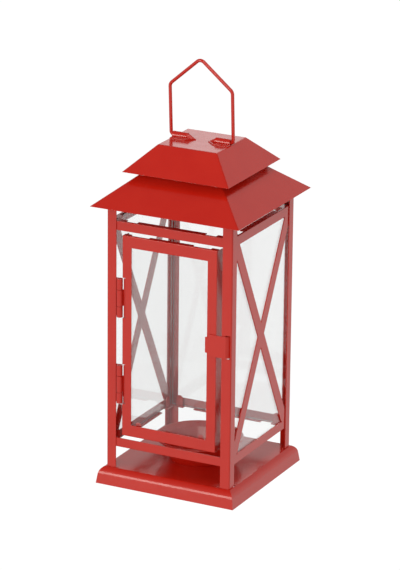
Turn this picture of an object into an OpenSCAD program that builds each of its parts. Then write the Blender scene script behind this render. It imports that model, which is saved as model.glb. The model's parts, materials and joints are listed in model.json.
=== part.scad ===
// Square candle lantern of folded and painted sheet steel, with a hinged glazed door, glazed
// left and right sides braced with a cross, a plain glazed back, a two-tier roof and a
// swinging wire handle.
// Millimetres. +Z is up, the door faces -Y, and the origin is at the middle of the base's underside.

/* [Sheet metal] */
// Thickness of the folded steel sheet
sheet = 0.8; // [0.6:0.1:1]
// Thickness of the glass panes
glass_t = 2; // [1.6:0.2:2.4]

/* [Base] */
// Width of the base where it rests on the table
base_w = 123.8; // [122.6:0.2:126]
// Height of the base's flat top
base_h = 13.9; // [12.5:0.1:16]
// Width of the base's flat top
base_top_w = 112.4; // [111.4:0.2:114]

/* [Body] */
// Width of the body over its four corner posts
body_w = 110.8; // [108:0.2:111]
// Width of each leg of the angle posts
post_leg = 8.4; // [7.4:0.2:9]
// Height of the top edge of the upper rails
rail_top_z = 222.3; // [220:0.1:225]
// Height of the lower edge of the bottom rails
rail_bottom_z = 31.9; // [30:0.1:34]
// Height of a rail's face
rail_h = 7.6; // [6.4:0.2:8]
// Width of the bars of the cross
brace_w = 9.5; // [8:0.1:11]
// Half the width of the window where the cross meets the upper rail
brace_reach = 40.5; // [38:0.5:42]

/* [Door] */
// Left edge of the door
door_x = -41.5; // [-41.7:0.1:-41.4]
// Width of the door
door_w = 83.6; // [83.4:0.1:84]
// Lower edge of the door
door_z = 42.7; // [42:0.1:44]
// Height of the door
door_h = 168.8; // [166:0.2:169.4]
// Width of the door's upright members
stile_w = 8.1; // [7.8:0.1:8.6]
// Height of the door's top and bottom members
door_rail_h = 9.7; // [9:0.1:10]
// Depth of the door's turned-in edges at top and bottom
door_flange = 4.8; // [4:0.2:5]
// Depth of the door's turned-in edges at its sides
door_side_flange = 10; // [6:0.2:10]

/* [Hinges] */
// Diameter of the hinge barrels
barrel_d = 5; // [4.8:0.1:5]
// Diameter of the hinge pins
hinge_pin_d = 3; // [2.6:0.1:3.2]
// Height of each hinge
hinge_h = 32; // [28:1:36]
// Height of each outer knuckle
knuckle_h = 9; // [7:0.5:10]
// Height of the lower hinge's middle
hinge_low_z = 86.5; // [75:0.5:90]
// Height of the upper hinge's middle
hinge_high_z = 159.2; // [150:0.1:170]

/* [Latch] */
// Height of the latch plate's lower edge
latch_z = 123.9; // [118:0.1:126]
// Height of the latch plate
latch_h = 18; // [16:0.1:20]

/* [Roof] */
// Width of the lower roof over its eaves
eave_w = 131.2; // [128:0.2:134]
// Height of the lower roof's eaves
eave_z = 234.2; // [233:0.1:237]
// Rise of the lower roof for each millimetre inwards
lower_slope = 0.797; // [0.76:0.005:0.82]
// Width of the opening at the top of the lower roof
vent_w = 64; // [60:1:68]
// Width of the upper roof over its eaves
cap_w = 94; // [92:0.5:96]
// Height of the upper roof's eaves
cap_z = 260.3; // [259:0.1:263]
// Width of the flat top
top_w = 52; // [52:0.1:54]
// Height of the flat top
top_z = 280.7; // [278:0.1:282]

/* [Handle] */
// Diameter of the handle's wire
wire_d = 2.8; // [2.4:0.1:3]
// Distance between the handle's two legs, on their centre lines
handle_w = 55; // [54.6:0.2:57]
// Length of the legs from the pivot to the shoulders
handle_leg = 42.3; // [38:0.1:46]
// Length from the pivot to the handle's peak
handle_peak = 66.2; // [62:0.1:70]
// Lean of the handle towards the door as it stands
handle_lean = 3.5; // [0:0.5:5]

/* [Candle dish] */
// Diameter of the dish at its foot
dish_foot_d = 49; // [46:0.5:54]
// Diameter of the dish over its rim
dish_rim_d = 70.5; // [68:0.5:72]
// Height of the dish
dish_h = 17.9; // [15:0.1:18]

/* [Hidden] */
$fn = 64;
red = [0.76, 0.20, 0.15];
clear = [0.86, 0.90, 0.90, 0.35];
eps = 0.01;

half = body_w / 2;
inner_half = half - sheet;
panel_half = half - 2.9;
leg_edge = half - post_leg;
cut = 200;

// Base: straight lower skirt up to a bend, then a slightly rounded shoulder up to the flat top.
skirt_bend_z = 8.2;
skirt_bend_x = base_w / 2 - 1.2;
shoulder_r = 8;
foot_slot_w = 1;
foot_slot = [2.7, 11];
foot_tongue = [3.2, 6.6];

// Rails and panels, in a frame whose y runs inwards from the sheet's outer face.
flange_t = 5.6;
flange_neck = 1.8;
rail_centre = 30;
rail_tab = [39.7, 48.5];
tongue_x = 43.8;
tongue_w = 6;
tongue_h = 10;
window_low = rail_bottom_z + rail_h;
window_high = rail_top_z - rail_h;
cross_z = (window_low + window_high) / 2;
// Angle of the bars from the level, found from the window's corner and the bars' width.
function brace_angle(a = 62, n = 8) =
    n == 0 ? a
    : brace_angle(atan((window_high - cross_z - brace_w / (2 * cos(a))) / brace_reach), n - 1);
brace_a = brace_angle();
brace_dx = brace_w / (2 * sin(brace_a));
brace_dz = brace_w / (2 * cos(brace_a));
relief_r = 0.8;

// Glass sits just behind the sheet and is held by tongues bent up behind it.
glass_gap = 0.1;
glass_half = 51.2;
glass_low = rail_bottom_z + sheet + 0.2;
glass_high = rail_top_z - sheet - 0.2;
tongue_y = sheet + glass_gap + glass_t + glass_gap;

// Door, in the body's frame.
door_y = -half;
door_right = door_x + door_w;
door_top = door_z + door_h;
door_neck = 2;
door_tab = 6.5;
door_gap = 16;
hinge_x = door_x - 1.95;
hinge_y = door_y - 0.5;
notch_x = door_x + 2.7;
notch_rim = 0.8;
pin_clearance = 0.05;
leaf_end = door_x + 4.3;
door_glass_y = door_y + sheet + 0.2;
door_glass_x = [leaf_end + 0.4, door_right - sheet - 0.3];
clip_w = 5;
clip_low_h = 11.6;
clip_high_h = 8;
clip_inset = 5.5;
hinge_zs = [hinge_low_z, hinge_high_z];

// Latch: a plate over the right stile, hooked round the stile's inner edge at one end
// and bent in through a slot in the corner post at the other.
stile_inner = door_right - stile_w;
latch_gap = 0.3;
latch_y = door_y - latch_gap - sheet;
latch_x = stile_inner + 1.7;
latch_bend_x = leg_edge + 3.3;
latch_tip_x = half - 1.5;
latch_tip_y = door_y + 2.4;
hook_x = stile_inner - 1.1;
hook_inset = 2.4;
hook_depth = 0.6;
slot_x = [leg_edge + 3.2, half - 0.9];
slot_z = [latch_z - 0.4, latch_z + latch_h + 1];
guard_w = 5.2;
guard_y = latch_tip_y + 0.3;
guard_z = [latch_z + latch_h - 3.2, latch_z + latch_h + 3];

// Roofs.
vent_z = eave_z + (eave_w - vent_w) / 2 * lower_slope;
lower_drop = sheet / cos(atan(lower_slope));
cap_slope = (top_z - cap_z) / ((cap_w - top_w) / 2);
cap_drop = sheet / cos(atan(cap_slope));
vent_in = vent_w / 2 - lower_drop / lower_slope;
spacer_w = 12;
spacer_tab = 8;
spacer_z = cap_z + (cap_w / 2 - vent_in) * cap_slope - cap_drop;
post_top = eave_z + (eave_w / 2 - half) * lower_slope - lower_drop;

// Handle and its two brackets.
wire_clearance = 0.3;
pivot_z = top_z + wire_d / 2 + wire_clearance;
ridge_r = 3;
ridge_fall = 12;
bracket_x = [5.5, 12.5, handle_w / 2 - 2];
bracket_half = 6.8;
handle_end = 13;
corner_r = 2.8;
shoulder_bend = 5;
peak_bend = 4.5;
bend_steps = 8;
wire_sides = 20;

// ---- Shared shapes -------------------------------------------------------------------------

// A square, mitred solid whose outline from every side is the same flat profile.
module mitred() {
    intersection() {
        rotate([90, 0, 0]) linear_extrude(height = cut, center = true) children();
        rotate([90, 0, 90]) linear_extrude(height = cut, center = true) children();
    }
}

// Turns a piece drawn for the front to one of the sides: 0 front, 1 right, 2 back, 3 left.
module on_side(side) {
    rotate([0, 0, 90 * side]) translate([0, -inner_half, 0]) children();
}

module box(low, high) {
    translate(low) cube(high - low);
}

// A sheet lying flat whose far edge is cut back between its centre and its end tabs.
module notched_flange(centre, tab, depth, neck) {
    box([-tab[1], 0, 0], [tab[1], neck, sheet]);
    box([-centre, 0, 0], [centre, depth, sheet]);
    for (s = [-1, 1]) {
        translate([s * (tab[0] + tab[1]) / 2, depth / 2, sheet / 2])
            cube([tab[1] - tab[0], depth, sheet], center = true);
    }
}

// ---- Base and dish -------------------------------------------------------------------------

// Half outline of the base, moved in from the outside by the given thickness.
module base_outline(inset) {
    top = base_h - inset;
    centre = shoulder_centre();
    for (s = [-1, 1]) scale([s, 1]) {
        polygon([[0, -inset], [base_w / 2 - inset * 1.05, -inset],
            [skirt_bend_x - inset * 1.05, skirt_bend_z], [0, skirt_bend_z]]);
        intersection() {
            translate(centre) circle(r = shoulder_r - inset, $fn = 128);
            translate([0, skirt_bend_z - eps]) square([base_w, top - skirt_bend_z + eps]);
        }
        translate([0, skirt_bend_z - eps]) square([centre[0], top - skirt_bend_z + eps]);
    }
}

// Centre of the arc through the skirt's bend and the edge of the flat top.
function shoulder_centre() =
    let (a = [base_top_w / 2, base_h], b = [skirt_bend_x, skirt_bend_z], d = b - a,
        h = sqrt(shoulder_r * shoulder_r - d * d / 4))
    (a + b) / 2 + h * [d[1], -d[0]] / norm(d);

module base_pan() {
    color(red) difference() {
        mitred() base_outline(0);
        mitred() base_outline(sheet);
        for (k = [0 : 3]) rotate([0, 0, 90 * k]) translate([-half, -half, 0]) {
            box([foot_slot[0], -0.1, 0], [foot_slot[1], foot_slot_w - 0.1, cut]);
            box([-0.1, foot_slot[0], 0], [foot_slot_w - 0.1, foot_slot[1], cut]);
        }
    }
}

module candle_dish() {
    foot = dish_foot_d / 2;
    rim = dish_rim_d / 2;
    neck = foot + 6;
    neck_z = dish_h - 4.4;
    lip = 0.9;
    color(red) translate([0, 0, base_h]) rotate_extrude($fn = 128) {
        polygon([[0, 0], [foot, 0], [neck, neck_z], [rim - lip, dish_h - lip],
            [rim - 2 * lip, dish_h - lip / 2], [neck - sheet, neck_z + 0.6],
            [foot - sheet, sheet], [0, sheet]]);
        translate([rim - lip, dish_h - lip]) circle(r = lip, $fn = 32);
    }
}

// ---- Posts ---------------------------------------------------------------------------------

// Angle section with a rounded fold, its legs along +X and +Y.
module angle_section() {
    fold = 2 * sheet;
    translate([fold, 0]) square([post_leg - fold, sheet]);
    translate([0, fold]) square([sheet, post_leg - fold]);
    intersection() {
        translate([fold, fold]) difference() {
            circle(r = fold);
            circle(r = fold - sheet);
        }
        square([fold, fold]);
    }
}

// Post at one corner: 0 front left, 1 front right, 2 back right, 3 back left.
// A tongue under each leg passes through the base and is turned in beneath it.
module post(corner) {
    clinch = 3;
    under = base_h - sheet;
    color(red) rotate([0, 0, 90 * corner]) translate([-half, -half, 0]) {
        translate([0, 0, base_h]) linear_extrude(height = post_top - base_h) angle_section();
        for (swap = [0, 1]) mirror(swap * [1, -1, 0]) {
            box([foot_tongue[0], 0, under - sheet], [foot_tongue[1], sheet, base_h]);
            box([foot_tongue[0], 0, under - sheet], [foot_tongue[1], clinch, under]);
        }
    }
}

module post_front_left() { post(0); }

// The latch enters a slot in this post's front leg, in front of a small guard that hangs
// behind the slot's upper end.
module post_front_right() {
    color(red) {
        difference() {
            post(1);
            box([slot_x[0], -half - 1, slot_z[0]], [slot_x[1], -half + 1.7, slot_z[1]]);
        }
        translate([slot_x[0] - 2, 0, 0]) {
            box([0, -inner_half, guard_z[1] - sheet], [guard_w, guard_y + sheet, guard_z[1]]);
            box([0, guard_y, guard_z[0]], [guard_w, guard_y + sheet, guard_z[1]]);
        }
    }
}

module post_back_right() { post(2); }

module post_back_left() { post(3); }

// ---- Rails and braced panels ---------------------------------------------------------------

module rail_face(z) {
    box([-panel_half, 0, z], [panel_half, sheet, z + rail_h]);
}

module rail_flange(z) {
    translate([0, 0, z]) notched_flange(rail_centre, rail_tab, flange_t, flange_neck);
}

module front_top_rail() {
    color(red) on_side(0) {
        rail_face(window_high);
        rail_flange(rail_top_z - sheet);
    }
}

module front_bottom_rail() {
    color(red) on_side(0) {
        rail_face(rail_bottom_z);
        rail_flange(rail_bottom_z);
    }
}

module back_top_rail() {
    color(red) on_side(2) {
        rail_face(window_high);
        rail_flange(rail_top_z - sheet);
        glass_tongues(rail_top_z, -1);
    }
}

module back_bottom_rail() {
    color(red) on_side(2) {
        rail_face(rail_bottom_z);
        rail_flange(rail_bottom_z);
        glass_tongues(rail_bottom_z, 1);
    }
}

// Outline of the four windows around the cross, from the front.
module brace_windows() {
    side = leg_edge + 1.5;
    reach_z = (side - brace_dx) * tan(brace_a);
    for (s = [-1, 1]) {
        polygon([[0, cross_z + s * brace_dz],
            [brace_reach, s > 0 ? window_high : window_low],
            [-brace_reach, s > 0 ? window_high : window_low]]);
        polygon([[s * brace_dx, cross_z], [s * side, cross_z + reach_z], [s * side, cross_z - reach_z]]);
        translate([s * brace_reach, window_low]) circle(r = relief_r);
    }
}

// Tongue that holds the glass, rounded at its free end.
module glass_tongue(z, up) {
    translate([0, tongue_y, z]) {
        box([-tongue_w / 2, 0, min(0, up * (tongue_h - tongue_w / 2))],
            [tongue_w / 2, sheet, max(0, up * (tongue_h - tongue_w / 2))]);
        translate([0, 0, up * (tongue_h - tongue_w / 2)])
            rotate([-90, 0, 0]) cylinder(d = tongue_w, h = sheet);
    }
}

module glass_tongues(z, up) {
    for (s = [-1, 1]) translate([s * tongue_x, 0, 0]) glass_tongue(z, up);
}

module braced_panel(side) {
    color(red) on_side(side) {
        difference() {
            box([-panel_half, 0, rail_bottom_z], [panel_half, sheet, rail_top_z]);
            translate([0, -1, 0]) rotate([90, 0, 0]) mirror([0, 0, 1])
                linear_extrude(height = 3) brace_windows();
        }
        rail_flange(rail_top_z - sheet);
        rail_flange(rail_bottom_z);
        glass_tongues(rail_bottom_z, 1);
        glass_tongues(rail_top_z, -1);
    }
}

module panel_right() { braced_panel(1); }

module panel_left() { braced_panel(3); }

module side_glass(side) {
    color(clear) on_side(side)
        box([-glass_half, sheet + glass_gap, glass_low],
            [glass_half, sheet + glass_gap + glass_t, glass_high]);
}

module glass_right() { side_glass(1); }

module glass_back() { side_glass(2); }

module glass_left() { side_glass(3); }

// ---- Roofs ---------------------------------------------------------------------------------

// Outline of a hipped roof from its eaves to the given height, lowered by the given drop.
module roof_outline(w, z, slope, drop, top) {
    reach = (top - z + drop) / slope;
    polygon([[-w / 2 + (drop - 1) / slope, z - 1], [w / 2 - (drop - 1) / slope, z - 1],
        [w / 2 - reach, top], [reach - w / 2, top]]);
}

module lower_roof() {
    color(red) intersection() {
        difference() {
            mitred() roof_outline(eave_w, eave_z, lower_slope, 0, vent_z);
            mitred() roof_outline(eave_w, eave_z, lower_slope, lower_drop, vent_z + 1);
        }
        box([-cut, -cut, eave_z], [cut, cut, cut * 2]);
    }
}

module upper_roof() {
    color(red) intersection() {
        difference() {
            mitred() roof_outline(cap_w, cap_z, cap_slope, 0, top_z);
            mitred() roof_outline(cap_w, cap_z, cap_slope, cap_drop, top_z - sheet);
        }
        box([-cut, -cut, cap_z], [cut, cut, cut * 2]);
    }
}

// Bracket between the roofs: an upright web with a tab along the underside of each.
module roof_spacer(side) {
    color(red) rotate([0, 0, 90 * side]) rotate([90, 0, -90])
        linear_extrude(height = spacer_w, center = true) {
            translate([vent_in - sheet, vent_z - sheet]) square([sheet, spacer_z - vent_z + sheet]);
            translate([vent_in, vent_z]) rotate(-atan(lower_slope))
                translate([-sheet, -sheet]) square([spacer_tab, sheet]);
            translate([vent_in, spacer_z]) rotate(-atan(cap_slope))
                translate([-sheet, -sheet]) square([spacer_tab, sheet]);
        }
}

module roof_spacer_front() { roof_spacer(0); }

module roof_spacer_right() { roof_spacer(1); }

module roof_spacer_back() { roof_spacer(2); }

module roof_spacer_left() { roof_spacer(3); }

// ---- Handle --------------------------------------------------------------------------------

// Pointed plate with a raised channel that is open at its outer end and underneath, and runs
// down to the plate's point at its inner end.
module handle_bracket(side) {
    bore_r = wire_d / 2 + wire_clearance;
    ridge = bracket_x[2] - bracket_x[1];
    color(red) scale([side, 1, 1]) difference() {
        union() {
            translate([0, 0, top_z]) linear_extrude(height = sheet)
                polygon([[bracket_x[0], 0], [bracket_x[1], bracket_half], [bracket_x[2], bracket_half],
                    [bracket_x[2], -bracket_half], [bracket_x[1], -bracket_half]]);
            intersection() {
                union() {
                    translate([bracket_x[1], 0, pivot_z]) rotate([0, 90, 0]) cylinder(r = ridge_r, h = ridge);
                    translate([bracket_x[1] + 0.6, 0, pivot_z - 0.1]) rotate([0, -90 - ridge_fall, 0])
                        cylinder(r1 = ridge_r - 0.15, r2 = 0.6, h = 6.6);
                }
                box([0, -cut, top_z], [cut, cut, 2 * cut]);
            }
        }
        translate([bracket_x[1] - 0.5, 0, pivot_z]) rotate([0, 90, 0]) cylinder(r = bore_r, h = ridge + 1);
        box([bracket_x[1] - 0.5, -bore_r, top_z - 1], [bracket_x[2] + 1, bore_r, pivot_z]);
    }
}

module handle_bracket_left() { handle_bracket(-1); }

module handle_bracket_right() { handle_bracket(1); }

// Corners of the handle's centre line in its own plane, and the bend radius at each.
handle_path = [[handle_end, 0, 0], [handle_w / 2, 0, corner_r], [handle_w / 2, handle_leg, shoulder_bend],
    [0, handle_peak, peak_bend], [-handle_w / 2, handle_leg, shoulder_bend],
    [-handle_w / 2, 0, corner_r], [-handle_end, 0, 0]];

function corner(i) = [handle_path[i][0], handle_path[i][1]];
function unit(v) = v / norm(v);
function toward(i, k) = unit(corner(k) - corner(i));
function heading(i) = let (d = toward(i, i + 1)) atan2(d[1], d[0]);
function half_angle(i) = acos(toward(i, i - 1) * toward(i, i + 1)) / 2;
function bend_centre(i) =
    corner(i) + unit(toward(i, i - 1) + toward(i, i + 1)) * handle_path[i][2] / sin(half_angle(i));

// Points along the wire, each with the direction that faces away from the bend's centre.
last_corner = len(handle_path) - 1;
wire_points = concat(
    [[corner(0), heading(0) - 90]],
    [for (i = [1 : last_corner - 1]) for (k = [0 : bend_steps])
        let (a = heading(i - 1) - 90 + k / bend_steps * (180 - 2 * half_angle(i)))
        [bend_centre(i) + handle_path[i][2] * [cos(a), sin(a)], a]],
    [[corner(last_corner), heading(last_corner - 1) - 90]]);

// Round wire swept along its points.
module handle() {
    rings = len(wire_points);
    vertices = [for (p = wire_points) for (j = [0 : wire_sides - 1])
        let (t = 360 * j / wire_sides, out = wire_d / 2 * cos(t))
        [p[0][0] + out * cos(p[1]), p[0][1] + out * sin(p[1]), wire_d / 2 * sin(t)]];
    sides = [for (i = [0 : rings - 2]) for (j = [0 : wire_sides - 1])
        let (n = (j + 1) % wire_sides)
        [i * wire_sides + j, i * wire_sides + n, (i + 1) * wire_sides + n, (i + 1) * wire_sides + j]];
    ends = [[for (j = [wire_sides - 1 : -1 : 0]) j],
        [for (j = [0 : wire_sides - 1]) (rings - 1) * wire_sides + j]];
    color(red) translate([0, 0, pivot_z]) rotate([90 + handle_lean, 0, 0])
        polyhedron(points = vertices, faces = concat(sides, ends));
}

// ---- Door ----------------------------------------------------------------------------------

// Edge of the door turned in, drawn along +X with its outer face at z = 0.
module door_edge(length) {
    middle = length / 2;
    translate([middle, 0, 0])
        notched_flange(middle - door_tab - door_gap, [middle - door_tab, middle],
            door_flange, door_neck);
}

module door_frame() {
    color(red) difference() {
        union() {
            difference() {
                box([door_x, door_y, door_z], [door_right, door_y + sheet, door_top]);
                box([door_x + stile_w, door_y - 1, door_z + door_rail_h],
                    [stile_inner, door_y + 2, door_top - door_rail_h]);
            }
            translate([door_x, door_y, door_z]) door_edge(door_w);
            translate([door_x, door_y, door_top - sheet]) door_edge(door_w);
            for (x = [door_x, door_right - sheet])
                box([x, door_y, door_z + sheet],
                    [x + sheet, door_y + door_side_flange, door_top - sheet]);
        }
        for (z = hinge_zs)
            box([door_x - 1, door_y - 1, z - hinge_h / 2 - notch_rim],
                [notch_x, door_y + door_side_flange + 1, z + hinge_h / 2 + notch_rim]);
    }
}

module door_glass() {
    color(clear)
        box([door_glass_x[0], door_glass_y, door_z + 2 * sheet + 0.2],
            [door_glass_x[1], door_glass_y + glass_t, door_top - 2 * sheet - 0.2]);
}

// Pair of clips standing on a turned-in edge of the door and holding the glass from behind.
module door_clips(z, up, h) {
    back = door_glass_y + glass_t + glass_gap;
    color(red) for (x = [door_x + stile_w + clip_inset, stile_inner - clip_inset])
        translate([x, 0, z]) scale([1, 1, up]) {
            box([-clip_w / 2, door_y + sheet, 0], [clip_w / 2, back + sheet, sheet]);
            box([-clip_w / 2, back, 0], [clip_w / 2, back + sheet, h - clip_w / 2]);
            translate([0, back, h - clip_w / 2]) rotate([-90, 0, 0]) cylinder(d = clip_w, h = sheet);
        }
}

module door_glass_clips_bottom() { door_clips(door_z + sheet, 1, clip_low_h); }

module door_glass_clips_top() { door_clips(door_top - sheet, -1, clip_high_h); }

// ---- Hinges --------------------------------------------------------------------------------

module knuckle(z, h, bore_d) {
    translate([hinge_x, hinge_y, z]) difference() {
        cylinder(d = barrel_d, h = h);
        translate([0, 0, -1]) cylinder(d = bore_d, h = h + 2);
    }
}

// Flat of a hinge leaf, from the barrel to where it ends behind the sheet.
module leaf(x, z, h) {
    side = sign(x - hinge_x);
    near = hinge_x + side * (hinge_pin_d / 2 + pin_clearance + 0.1);
    box([min(near, x), door_y + sheet, z], [max(near, x), door_y + 2 * sheet, z + h]);
}

// Leaf fixed behind the corner post, with the two outer knuckles.
module post_leaf(z) {
    low = z - hinge_h / 2;
    color(red) difference() {
        union() {
            leaf(-half + 2.5, low, hinge_h);
            for (k = [low, low + hinge_h - knuckle_h]) knuckle(k, knuckle_h, hinge_pin_d);
        }
        translate([hinge_x, hinge_y, low + knuckle_h - 0.15])
            cylinder(d = barrel_d + 1.2, h = hinge_h - 2 * knuckle_h + 0.3);
        translate([hinge_x, hinge_y, low - 1]) cylinder(d = hinge_pin_d, h = hinge_h + 2);
    }
}

// Leaf fixed behind the door's stile, as tall as the hinge, with the middle knuckle turning
// on the pin.
module door_leaf(z) {
    low = z - hinge_h / 2 + knuckle_h + 0.15;
    middle_h = hinge_h - 2 * knuckle_h - 0.3;
    bore_d = hinge_pin_d + 2 * pin_clearance;
    color(red) difference() {
        union() {
            leaf(leaf_end, low, middle_h);
            box([hinge_x + barrel_d / 2 + 0.3, door_y + sheet, z - hinge_h / 2],
                [leaf_end, door_y + 2 * sheet, z + hinge_h / 2]);
            knuckle(low, middle_h, bore_d);
        }
        translate([hinge_x, hinge_y, low - 1]) cylinder(d = bore_d, h = middle_h + 2);
    }
}

// Pin set a little below the ends of the barrel.
module hinge_pin(z) {
    sunk = 0.6;
    color(red) translate([hinge_x, hinge_y, z - hinge_h / 2 + sunk])
        cylinder(d = hinge_pin_d, h = hinge_h - 2 * sunk);
}

module hinge_lower_post_leaf() { post_leaf(hinge_low_z); }

module hinge_upper_post_leaf() { post_leaf(hinge_high_z); }

module hinge_lower_door_leaf() { door_leaf(hinge_low_z); }

module hinge_upper_door_leaf() { door_leaf(hinge_high_z); }

module hinge_lower_pin() { hinge_pin(hinge_low_z); }

module hinge_upper_pin() { hinge_pin(hinge_high_z); }

// ---- Latch ---------------------------------------------------------------------------------

// Rectangle in the plate's plane, rounded at its left corners.
module rounded_left(low, high, r) {
    translate([low[0] + r, low[1]]) square([high[0] - low[0] - r, high[1] - low[1]]);
    translate([low[0], low[1] + r]) square([r, high[1] - low[1] - 2 * r]);
    for (z = [low[1] + r, high[1] - r]) translate([low[0] + r, z]) circle(r = r);
}

module latch_plate() {
    top = latch_z + latch_h;
    color(red) {
        translate([0, latch_y + sheet, 0]) rotate([90, 0, 0]) linear_extrude(height = sheet) {
            rounded_left([latch_x, latch_z], [latch_bend_x, top], 1.5);
            rounded_left([hook_x, latch_z + hook_inset], [latch_x + 2, top - hook_inset], 0.8);
        }
        box([hook_x, latch_y + sheet - eps, latch_z + hook_inset + 0.8],
            [hook_x + sheet, latch_y + sheet + hook_depth, top - hook_inset - 0.8]);
        translate([hook_x + sheet / 2, latch_y + sheet + hook_depth, latch_z + hook_inset + 0.8])
            cylinder(d = sheet, h = latch_h - 2 * hook_inset - 1.6);
        translate([0, 0, latch_z]) linear_extrude(height = latch_h)
            polygon([[latch_bend_x - eps, latch_y], [latch_bend_x + 0.5, latch_y],
                [latch_tip_x, latch_tip_y - 0.4], [latch_tip_x - 0.5, latch_tip_y],
                [latch_bend_x - eps, latch_y + sheet]]);
    }
}

// ---- Assembly ------------------------------------------------------------------------------

base_pan();
candle_dish();
post_front_left();
post_front_right();
post_back_right();
post_back_left();
front_top_rail();
front_bottom_rail();
back_top_rail();
back_bottom_rail();
panel_right();
panel_left();
glass_right();
glass_back();
glass_left();
lower_roof();
upper_roof();
roof_spacer_front();
roof_spacer_right();
roof_spacer_back();
roof_spacer_left();
handle_bracket_left();
handle_bracket_right();
handle();
door_frame();
door_glass();
door_glass_clips_top();
door_glass_clips_bottom();
hinge_lower_post_leaf();
hinge_upper_post_leaf();
hinge_lower_door_leaf();
hinge_upper_door_leaf();
hinge_lower_pin();
hinge_upper_pin();
latch_plate();
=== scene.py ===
# Red steel candle lantern: looks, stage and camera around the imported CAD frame. Metres, +Z up.
import json
import math

import bmesh
import bpy
from mathutils import Matrix, Vector

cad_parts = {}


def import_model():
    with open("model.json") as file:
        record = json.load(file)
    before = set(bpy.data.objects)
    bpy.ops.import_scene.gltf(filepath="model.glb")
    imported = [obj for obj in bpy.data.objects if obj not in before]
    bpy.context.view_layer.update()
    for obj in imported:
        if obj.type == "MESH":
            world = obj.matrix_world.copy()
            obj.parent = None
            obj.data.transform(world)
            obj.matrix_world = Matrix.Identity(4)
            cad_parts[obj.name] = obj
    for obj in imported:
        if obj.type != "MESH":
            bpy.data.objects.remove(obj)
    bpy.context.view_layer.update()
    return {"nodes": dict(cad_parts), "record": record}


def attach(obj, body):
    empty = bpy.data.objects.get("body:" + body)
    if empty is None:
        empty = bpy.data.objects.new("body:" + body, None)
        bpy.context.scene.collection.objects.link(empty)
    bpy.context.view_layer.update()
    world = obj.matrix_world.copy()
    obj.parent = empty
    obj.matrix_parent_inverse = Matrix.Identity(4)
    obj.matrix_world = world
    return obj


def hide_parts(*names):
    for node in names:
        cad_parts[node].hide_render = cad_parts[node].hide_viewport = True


MM = 0.001

# Camera: fitted to the lantern's straight edges, long lens from about 2.8 m. Angles are in degrees.
CAMERA_AZIMUTH = 26.86
CAMERA_ELEVATION = 18.58
CAMERA_ROLL = 0.6
CAMERA_DISTANCE = 2.7576
CAMERA_LENS = 217.36
CAMERA_AIM = Vector((-0.0004, -0.0003, 0.1604))

# Studio: brightness at heights from straight down (-1) to straight up (1), and the share of it that is
# left at both sides, where |X| of the direction passes from the first bound to the second.
STUDIO_LEVELS = [(-1, 0.3), (-0.62, 0.4), (-0.4, 1.03), (0.17, 1.03), (0.95, 0.2)]
SIDE_BOUNDS = (0.7, 0.9)
SIDE_SHARE = 0.62

# Softboxes that face the lantern: azimuth, elevation, distance, width, height and power.
SOFTBOXES = {
    "key": (-26, 8, 2.4, 0.45, 1.0, 9),
    "fill": (10, 24, 2.6, 1.2, 1.2, 12),
    "top": (30, 60, 2.4, 1.0, 1.0, 9),
    "rim": (80, 62, 2.2, 0.9, 0.9, 6),
    "back": (197, 30, 1.1, 0.45, 0.45, 0.45),
}

# The paint's colour, where it drifts deeper, and its light specks.
RED = (0.500, 0.013, 0.005, 1)
RED_DEEP = (0.475, 0.010, 0.004, 1)
RED_LIGHT = tuple(1.25 * c for c in RED[:3]) + (1,)

# Faces of a CAD mesh that lie this flat to each other are one face, and points this near are one point.
FLAT_ANGLE = math.radians(1)
MERGE_DISTANCE = 0.002 * MM

# Sheet metal: how much the outside of a fold is rounded, and every other sharp edge. An edge is the
# outside of a fold if it is convex, long enough, and between two faces wider than the sheet is thick.
FOLD_WIDTH = 0.9 * MM
OTHER_EDGE_WIDTH = 0.26 * MM
ROUNDING_STEPS = 3
SHARP_ANGLE = math.radians(24)
SHORTEST_FOLD = 3 * MM
NARROWEST_SIDE = 1.3 * MM

# Panes: the arris ground along their edges.
ARRIS_WIDTH = 0.2 * MM

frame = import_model()
NODES = frame["nodes"]
BODY_OF = {n: body for body, nodes in frame["record"]["behaviour"]["bodies"].items() for n in nodes}
SLOT_OF = {s["node"]: s["material_slot"] for s in frame["record"]["subparts"]}


# ---- Shader nodes ----------------------------------------------------------------------------


class NodeTree:
    """A node tree with short calls for making and joining nodes."""

    def __init__(self, tree):
        self.tree = tree

    def node(self, kind, inputs=None, **settings):
        made = self.tree.nodes.new(kind)
        for key, value in settings.items():
            setattr(made, key, value)
        for key, value in (inputs or {}).items():
            self.set(made, key, value)
        return made

    def set(self, node, key, value):
        if isinstance(value, bpy.types.NodeSocket):
            self.tree.links.new(value, node.inputs[key])
        else:
            node.inputs[key].default_value = value

    def calculate(self, operation, *values):
        """The result of a math node's operation on these values."""
        return self.node("ShaderNodeMath", dict(enumerate(values)), operation=operation).outputs[0]


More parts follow.
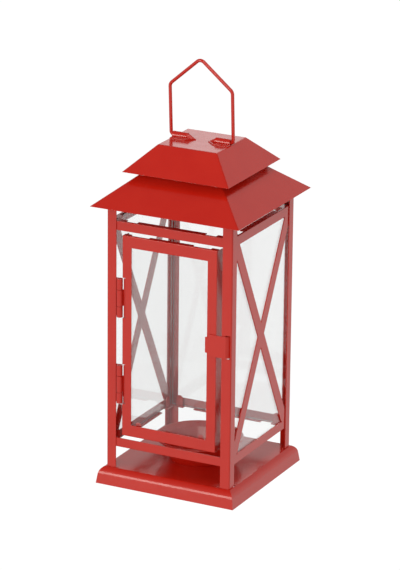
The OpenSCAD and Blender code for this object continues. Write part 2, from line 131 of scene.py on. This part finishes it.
class Shader(NodeTree):
    """A material's node tree, with textures in the object's own coordinates."""

    def __init__(self, name):
        self.material = bpy.data.materials.new(name)
        self.material.use_nodes = True
        super().__init__(self.material.node_tree)
        self.tree.nodes.clear()
        self.output = self.node("ShaderNodeOutputMaterial")
        self.place = self.node("ShaderNodeTexCoord").outputs["Object"]

    def noise(self, scale, detail=2.0, roughness=0.5, distortion=0.0):
        made = self.node("ShaderNodeTexNoise", {
            "Vector": self.place, "Scale": scale, "Detail": detail,
            "Roughness": roughness, "Distortion": distortion})
        return made.outputs["Fac"]

    def spread(self, value, low, high, start=0.3, end=0.7):
        """The value's start..end range mapped to low..high."""
        made = self.node("ShaderNodeMapRange", {
            "Value": value, "From Min": start, "From Max": end, "To Min": low, "To Max": high})
        return made.outputs["Result"]

    def mix(self, factor, a, b):
        made = self.node("ShaderNodeMix", {0: factor, 6: a, 7: b}, data_type="RGBA")
        return made.outputs[2]

    def bump(self, height, strength, distance, normal=None):
        inputs = {"Height": height, "Strength": strength, "Distance": distance}
        if normal is not None:
            inputs["Normal"] = normal
        return self.node("ShaderNodeBump", inputs).outputs["Normal"]

    def finish(self, surface):
        """The material, with this shader node as its surface."""
        self.set(self.output, "Surface", surface.outputs[0])
        return self.material


# ---- Materials -------------------------------------------------------------------------------


def powder_coat(name, roughness=0.17):
    """Semi-gloss red powder paint: orange peel, fine grain, slight colour drift and light specks."""
    s = Shader(name)
    drift = s.spread(s.noise(38, 3, 0.55), 0.0, 1.0)
    specks = s.spread(s.noise(2600, 1), 0.0, 0.12, 0.62, 0.78)
    colour = s.mix(specks, s.mix(drift, RED, RED_DEEP), RED_LIGHT)
    gloss = s.spread(s.noise(95, 3, 0.6, 0.4), roughness - 0.035, roughness + 0.045)
    peel = s.bump(s.noise(420, 2, 0.5), 0.035, 0.0001)
    grain = s.bump(s.noise(2400, 2, 0.6), 0.02, 0.00003, peel)
    return s.finish(s.node("ShaderNodeBsdfPrincipled", {
        "Base Color": colour, "Roughness": gloss, "Normal": grain, "IOR": 1.5,
        "Specular IOR Level": 0.5, "Specular Tint": (1, 0.98, 0.9, 1)}))


def clear_glass(name):
    """Float glass with a breath of smudging, which lets the lamps' light straight through."""
    s = Shader(name)
    smudge = s.spread(s.noise(26, 4, 0.65, 1.2), 0.0, 0.05, 0.5, 0.85)
    wave = s.bump(s.noise(14, 1), 0.05, 0.0004)
    glass = s.node("ShaderNodeBsdfPrincipled", {
        "Base Color": (0.90, 0.903, 0.901, 1), "Roughness": smudge, "Normal": wave,
        "IOR": 1.5, "Transmission Weight": 1.0})
    open_air = s.node("ShaderNodeBsdfTransparent", {"Color": (0.93, 0.94, 0.935, 1)})
    path = s.node("ShaderNodeLightPath").outputs
    let_through = s.calculate("MAXIMUM", path["Is Shadow Ray"], path["Is Diffuse Ray"])
    return s.finish(s.node("ShaderNodeMixShader", {
        0: let_through, 1: glass.outputs[0], 2: open_air.outputs[0]}))


def ground_edge(name):
    """The ground arris of a pane: dull grey green, faintly streaked."""
    s = Shader(name)
    streaks = s.spread(s.noise(900, 3, 0.6), 0.0, 1.0)
    return s.finish(s.node("ShaderNodeBsdfPrincipled", {
        "Base Color": s.mix(streaks, (0.20, 0.24, 0.22, 1), (0.30, 0.35, 0.32, 1)),
        "Roughness": 0.5, "IOR": 1.5, "Normal": s.bump(streaks, 0.2, 0.0001)}))


PAINT = {
    "red_sheet": powder_coat("powder_coat_sheet"),
    "red_dish": powder_coat("powder_coat_dish", 0.2),
    "red_fittings": powder_coat("powder_coat_fittings", 0.16),
    "red_handle": powder_coat("powder_coat_handle", 0.15),
}
GLASS = clear_glass("clear_glass")
GLASS_EDGE = ground_edge("ground_glass_edge")


# ---- Pieces that stand for the CAD nodes ----------------------------------------------------


def opened(node):
    """A copy of a CAD node's mesh, and a bmesh of it whose flat faces are each one face."""
    mesh = NODES[node].data.copy()
    shape = bmesh.new()
    shape.from_mesh(mesh)
    bmesh.ops.remove_doubles(shape, verts=shape.verts, dist=MERGE_DISTANCE)
    bmesh.ops.dissolve_limit(shape, angle_limit=FLAT_ANGLE, verts=shape.verts, edges=shape.edges)
    return mesh, shape


def closed(name, mesh, shape, *materials):
    """A new object of the mesh, with the bmesh's shape and these materials."""
    shape.to_mesh(mesh)
    shape.free()
    mesh.materials.clear()
    for material in materials:
        mesh.materials.append(material)
    piece = bpy.data.objects.new(name, mesh)
    bpy.context.collection.objects.link(piece)
    return piece


def stand_for(node, slot, piece):
    """The piece takes the CAD node's place, on the node's body."""
    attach(piece, BODY_OF[node])
    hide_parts(node)


def face_width(face):
    """Mean width of a face: a cut edge of the sheet is narrow, its sides are wide."""
    return 2 * face.calc_area() / face.calc_perimeter()


def is_fold(edge):
    """Whether an edge is the outside of a fold. A cut edge of the sheet has a narrow face beside it."""
    return (edge.calc_face_angle_signed(0) > 0
            and min(face_width(f) for f in edge.link_faces) > NARROWEST_SIDE
            and edge.calc_length() > SHORTEST_FOLD)


def painted(node, slot):
    """Painted metal: a CAD node with its sharp edges rounded, and its folds more so."""
    mesh, shape = opened(node)
    weight = shape.edges.layers.float.new("bevel_weight_edge")
    for edge in shape.edges:
        if len(edge.link_faces) == 2 and edge.calc_face_angle(0) >= SHARP_ANGLE:
            edge[weight] = 1 if is_fold(edge) else OTHER_EDGE_WIDTH / FOLD_WIDTH
    for face in shape.faces:
        face.smooth = True
    piece = closed(node + "_painted", mesh, shape, PAINT[slot])
    bevel = piece.modifiers.new("folds", "BEVEL")
    bevel.limit_method = "WEIGHT"
    bevel.width = FOLD_WIDTH
    bevel.segments = ROUNDING_STEPS
    bevel.use_clamp_overlap = True
    shading = piece.modifiers.new("shading", "WEIGHTED_NORMAL")
    shading.keep_sharp = True
    shading.weight = 100
    stand_for(node, slot, piece)


def glazed(node, slot):
    """A clear pane: a CAD node with a ground arris along its edges."""
    pane = closed(node + "_pane", *opened(node), GLASS, GLASS_EDGE)
    arris = pane.modifiers.new("arris", "BEVEL")
    arris.width = ARRIS_WIDTH
    arris.material = 1
    stand_for(node, slot, pane)


for node, slot in SLOT_OF.items():
    if slot == "glass_pane":
        glazed(node, slot)
    else:
        painted(node, slot)


# ---- Studio and camera ----------------------------------------------------------------------


def bearing(azimuth, elevation):
    """The unit vector from the lantern towards these angles, in degrees."""
    a = math.radians(azimuth)
    e = math.radians(elevation)
    return Vector((math.sin(a) * math.cos(e), -math.cos(a) * math.cos(e), math.sin(e)))


def world():
    """White studio whose light changes with height and fades at both sides; the camera sees white."""
    studio = bpy.data.worlds.new("studio")
    bpy.context.scene.world = studio
    studio.use_nodes = True
    w = NodeTree(studio.node_tree)
    place = w.node("ShaderNodeTexCoord").outputs["Generated"]
    split = w.node("ShaderNodeSeparateXYZ", {0: place}).outputs
    height = w.node("ShaderNodeMapRange", {"Value": split["Z"], "From Min": -1})
    fade = w.node("ShaderNodeValToRGB", {"Fac": height.outputs["Result"]})
    stops = fade.color_ramp.elements
    while len(stops) < len(STUDIO_LEVELS):
        stops.new(0.5)
    for stop, (z, level) in zip(stops, STUDIO_LEVELS):
        stop.position = (z + 1) / 2
        stop.color = (level, level, level, 1)
    share = w.node("ShaderNodeMapRange", {
        "Value": w.calculate("ABSOLUTE", split["X"]), "From Min": SIDE_BOUNDS[0],
        "From Max": SIDE_BOUNDS[1], "To Min": 1.0, "To Max": SIDE_SHARE})
    light = w.calculate("MULTIPLY", fade.outputs["Color"], share.outputs["Result"])
    path = w.node("ShaderNodeLightPath").outputs
    background = w.tree.nodes["Background"]
    w.set(background, "Color", (1, 1, 1, 1))
    w.set(background, "Strength", w.calculate("MAXIMUM", path["Is Camera Ray"], light))


def softbox(name, azimuth, elevation, distance, width, height, power):
    """A rectangular lamp, unseen by the camera, that faces the middle of the lantern."""
    back = bearing(azimuth, elevation)
    lamp = bpy.data.lights.new(name, "AREA")
    lamp.energy = power
    lamp.shape = "RECTANGLE"
    lamp.size = width
    lamp.size_y = height
    obj = bpy.data.objects.new(name, lamp)
    obj.location = CAMERA_AIM + back * distance
    obj.rotation_euler = (-back).to_track_quat("-Z", "Y").to_euler()
    obj.visible_camera = False
    bpy.context.collection.objects.link(obj)


def camera():
    """The long-lens camera, rolled a little about its own line of sight."""
    back = bearing(CAMERA_AZIMUTH, CAMERA_ELEVATION)
    a = math.radians(CAMERA_AZIMUTH)
    right = Vector((math.cos(a), math.sin(a), 0))
    up = back.cross(right)
    roll = math.radians(CAMERA_ROLL)
    x = right * math.cos(roll) + up * math.sin(roll)
    y = up * math.cos(roll) - right * math.sin(roll)
    data = bpy.data.cameras.new("camera")
    data.lens = CAMERA_LENS
    data.sensor_width = 36
    data.clip_start = 0.05
    data.clip_end = 50
    obj = bpy.data.objects.new("camera", data)
    turn = Matrix((x, y, back)).transposed().to_4x4()
    obj.matrix_world = Matrix.Translation(CAMERA_AIM + back * CAMERA_DISTANCE) @ turn
    bpy.context.collection.objects.link(obj)
    bpy.context.scene.camera = obj


world()
for name, settings in SOFTBOXES.items():
    softbox(name, *settings)
camera()
bpy.context.scene.view_settings.view_transform = "Standard"
